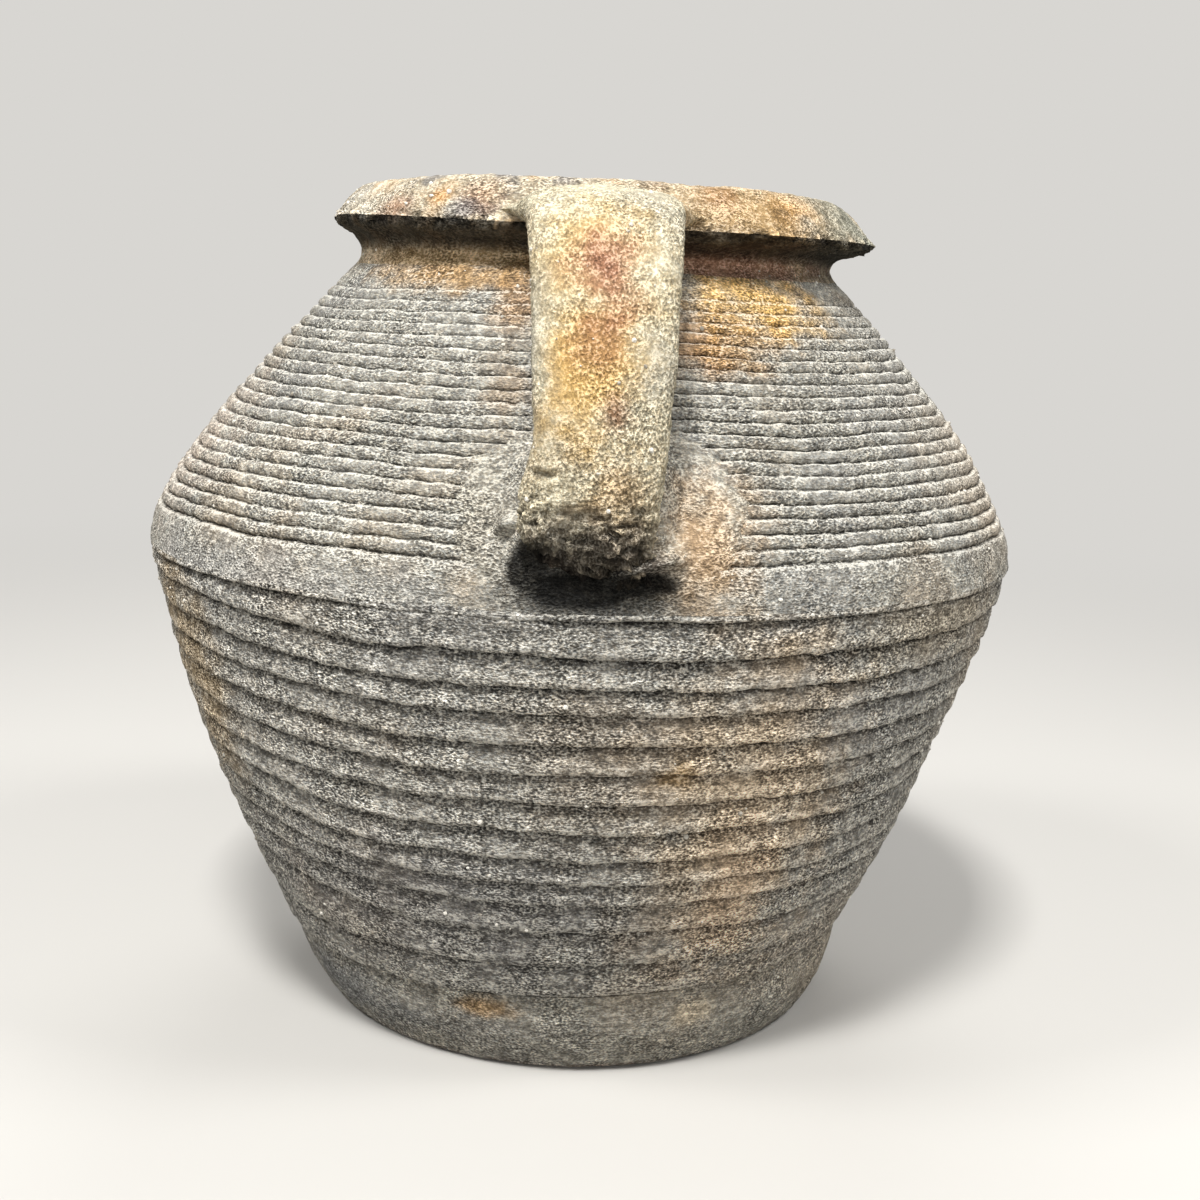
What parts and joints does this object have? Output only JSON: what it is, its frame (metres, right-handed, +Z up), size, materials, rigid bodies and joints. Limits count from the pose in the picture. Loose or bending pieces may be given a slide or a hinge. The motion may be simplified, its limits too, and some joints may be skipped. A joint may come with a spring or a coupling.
{
  "type": "cooking pot",
  "caption": "Round earthenware cooking pot with combed ribbed walls, a sharp belly, a turned-out collar rim and one strap handle from rim to shoulder.",
  "frame": {"origin": "centre of the flat base, on the surface that the pot stands on", "axes": "+Z up along the axis that the pot was thrown on; the strap handle is on the -Y side"},
  "size_m": [0.1796, 0.1849, 0.169],
  "materials": {
    "smoked_clay": "unglazed, coarse gritty earthenware, smoked dark grey",
    "weathered_clay": "unglazed, coarse gritty earthenware, weathered mid grey with pale scurf",
    "stained_clay": "unglazed, coarse gritty earthenware, stained ochre and rust"
  },
  "bodies": {
    "root": {"foot_base": "smoked_clay", "lower_wall": "smoked_clay", "shoulder_wall": "weathered_clay", "neck_rim": "stained_clay", "strap_handle": "stained_clay", "handle_root_lute": "weathered_clay", "handle_rim_lute": "stained_clay"}
  },
  "joints": []
}
